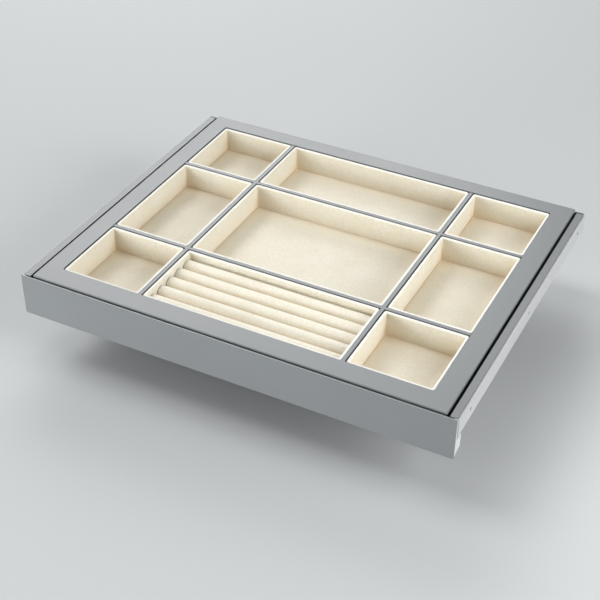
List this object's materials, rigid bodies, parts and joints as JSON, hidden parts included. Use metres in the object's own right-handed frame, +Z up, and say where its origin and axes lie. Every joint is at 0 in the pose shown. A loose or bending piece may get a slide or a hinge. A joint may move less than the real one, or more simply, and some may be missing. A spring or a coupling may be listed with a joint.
{
  "type": "pull-out jewellery drawer",
  "caption": "Pull-out jewellery drawer for a wardrobe: grey metal front and frame, suede-lined lift-out trays, a tray of ring rolls and a ball-bearing slide on each side.",
  "frame": {"origin": "under the middle of the drawer, level with the front panel's lower edge", "axes": "+X to the right as seen from the front, +Y to the rear of the cabinet, +Z up"},
  "size_m": [0.564, 0.456, 0.057],
  "materials": {
    "grey_metal": "satin grey coat on aluminium",
    "zinc_steel": "zinc-plated sheet steel",
    "cage_steel": "thin plated strip",
    "ball_steel": "polished, lightly oiled",
    "screw_steel": "zinc-plated",
    "black_plastic": "moulded, fine texture",
    "light_plastic": "moulded, satin",
    "board": "fibreboard faced in dark grey melamine",
    "tray_board": "thin fibreboard",
    "suede": "cream microsuede, short nap"
  },
  "bodies": {
    "cabinet_rails": {"cabinet_member_left": "zinc_steel", "cabinet_member_right": "zinc_steel", "slide_bumper_left": "black_plastic", "slide_bumper_right": "black_plastic"},
    "drawer": {"front_panel": "grey_metal", "panel_end_cap_left": "light_plastic", "panel_end_cap_right": "light_plastic", "side_rail_left": "grey_metal", "side_rail_right": "grey_metal", "rail_cap_left": "black_plastic", "rail_cap_right": "black_plastic", "rear_rail": "grey_metal", "front_bracket_left": "zinc_steel", "front_bracket_right": "zinc_steel", "rear_corner_plate_left": "zinc_steel", "rear_corner_plate_right": "zinc_steel", "screws": "screw_steel", "base_board": "board", "box_front": "board", "box_rear": "board", "box_side_left": "board", "box_side_right": "board", "deck_plate": "grey_metal", "long_divider_left": "grey_metal", "long_divider_right": "grey_metal", "cross_divider_front": "grey_metal", "cross_divider_rear": "grey_metal", "drawer_member_left": "zinc_steel", "drawer_member_right": "zinc_steel", "lever_rivets": "screw_steel"},
    "ball_cage_left": {"ball_cage_left": "cage_steel", "slide_balls_left": "ball_steel"},
    "release_lever_left": {"release_lever_left": "black_plastic"},
    "ball_cage_right": {"ball_cage_right": "cage_steel", "slide_balls_right": "ball_steel"},
    "release_lever_right": {"release_lever_right": "black_plastic"},
    "tray_front_left": {"tray_shell_front_left": "tray_board", "tray_lining_front_left": "suede"},
    "tray_ring": {"tray_shell_ring": "tray_board", "tray_lining_ring": "suede", "ring_pad": "suede", "ring_roll_1": "suede", "ring_roll_2": "suede", "ring_roll_3": "suede", "ring_roll_4": "suede", "ring_roll_5": "suede"},
    "tray_front_right": {"tray_shell_front_right": "tray_board", "tray_lining_front_right": "suede"},
    "tray_middle_left": {"tray_shell_middle_left": "tray_board", "tray_lining_middle_left": "suede"},
    "tray_middle_centre": {"tray_shell_middle_centre": "tray_board", "tray_lining_middle_centre": "suede"},
    "tray_middle_right": {"tray_shell_middle_right": "tray_board", "tray_lining_middle_right": "suede"},
    "tray_rear_left": {"tray_shell_rear_left": "tray_board", "tray_lining_rear_left": "suede"},
    "tray_rear_centre": {"tray_shell_rear_centre": "tray_board", "tray_lining_rear_centre": "suede"},
    "tray_rear_right": {"tray_shell_rear_right": "tray_board", "tray_lining_rear_right": "suede"}
  },
  "joints": [
    {"name": "drawer_slide", "type": "slide", "parent": "cabinet_rails", "child": "drawer", "axis": [0, -1, 0], "range_m": [0, 0.33]},
    {"name": "ball_cage_travel_left", "type": "slide", "parent": "cabinet_rails", "child": "ball_cage_left", "axis": [0, -1, 0], "range_m": [0, 0.165]},
    {"name": "release_lever_turn_left", "type": "hinge", "parent": "drawer", "child": "release_lever_left", "pos_m": [-0.275, 0.15, 0.0395], "axis": [1, 0, 0], "range_deg": [-6, 6], "stiffness_Nm_per_rad": 0.02},
    {"name": "ball_cage_travel_right", "type": "slide", "parent": "cabinet_rails", "child": "ball_cage_right", "axis": [0, -1, 0], "range_m": [0, 0.165]},
    {"name": "release_lever_turn_right", "type": "hinge", "parent": "drawer", "child": "release_lever_right", "pos_m": [0.275, 0.15, 0.0395], "axis": [1, 0, 0], "range_deg": [-6, 6], "stiffness_Nm_per_rad": 0.02},
    {"name": "tray_lift_front_left", "type": "slide", "parent": "drawer", "child": "tray_front_left", "axis": [0, 0, 1], "range_m": [0, 0.06]},
    {"name": "tray_lift_ring", "type": "slide", "parent": "drawer", "child": "tray_ring", "axis": [0, 0, 1], "range_m": [0, 0.06]},
    {"name": "tray_lift_front_right", "type": "slide", "parent": "drawer", "child": "tray_front_right", "axis": [0, 0, 1], "range_m": [0, 0.06]},
    {"name": "tray_lift_middle_left", "type": "slide", "parent": "drawer", "child": "tray_middle_left", "axis": [0, 0, 1], "range_m": [0, 0.06]},
    {"name": "tray_lift_middle_centre", "type": "slide", "parent": "drawer", "child": "tray_middle_centre", "axis": [0, 0, 1], "range_m": [0, 0.06]},
    {"name": "tray_lift_middle_right", "type": "slide", "parent": "drawer", "child": "tray_middle_right", "axis": [0, 0, 1], "range_m": [0, 0.06]},
    {"name": "tray_lift_rear_left", "type": "slide", "parent": "drawer", "child": "tray_rear_left", "axis": [0, 0, 1], "range_m": [0, 0.06]},
    {"name": "tray_lift_rear_centre", "type": "slide", "parent": "drawer", "child": "tray_rear_centre", "axis": [0, 0, 1], "range_m": [0, 0.06]},
    {"name": "tray_lift_rear_right", "type": "slide", "parent": "drawer", "child": "tray_rear_right", "axis": [0, 0, 1], "range_m": [0, 0.06]}
  ],
  "couplings": [
    {"joint": "ball_cage_travel_left", "follows": "drawer_slide", "ratio": 0.5},
    {"joint": "ball_cage_travel_right", "follows": "drawer_slide", "ratio": 0.5}
  ]
}
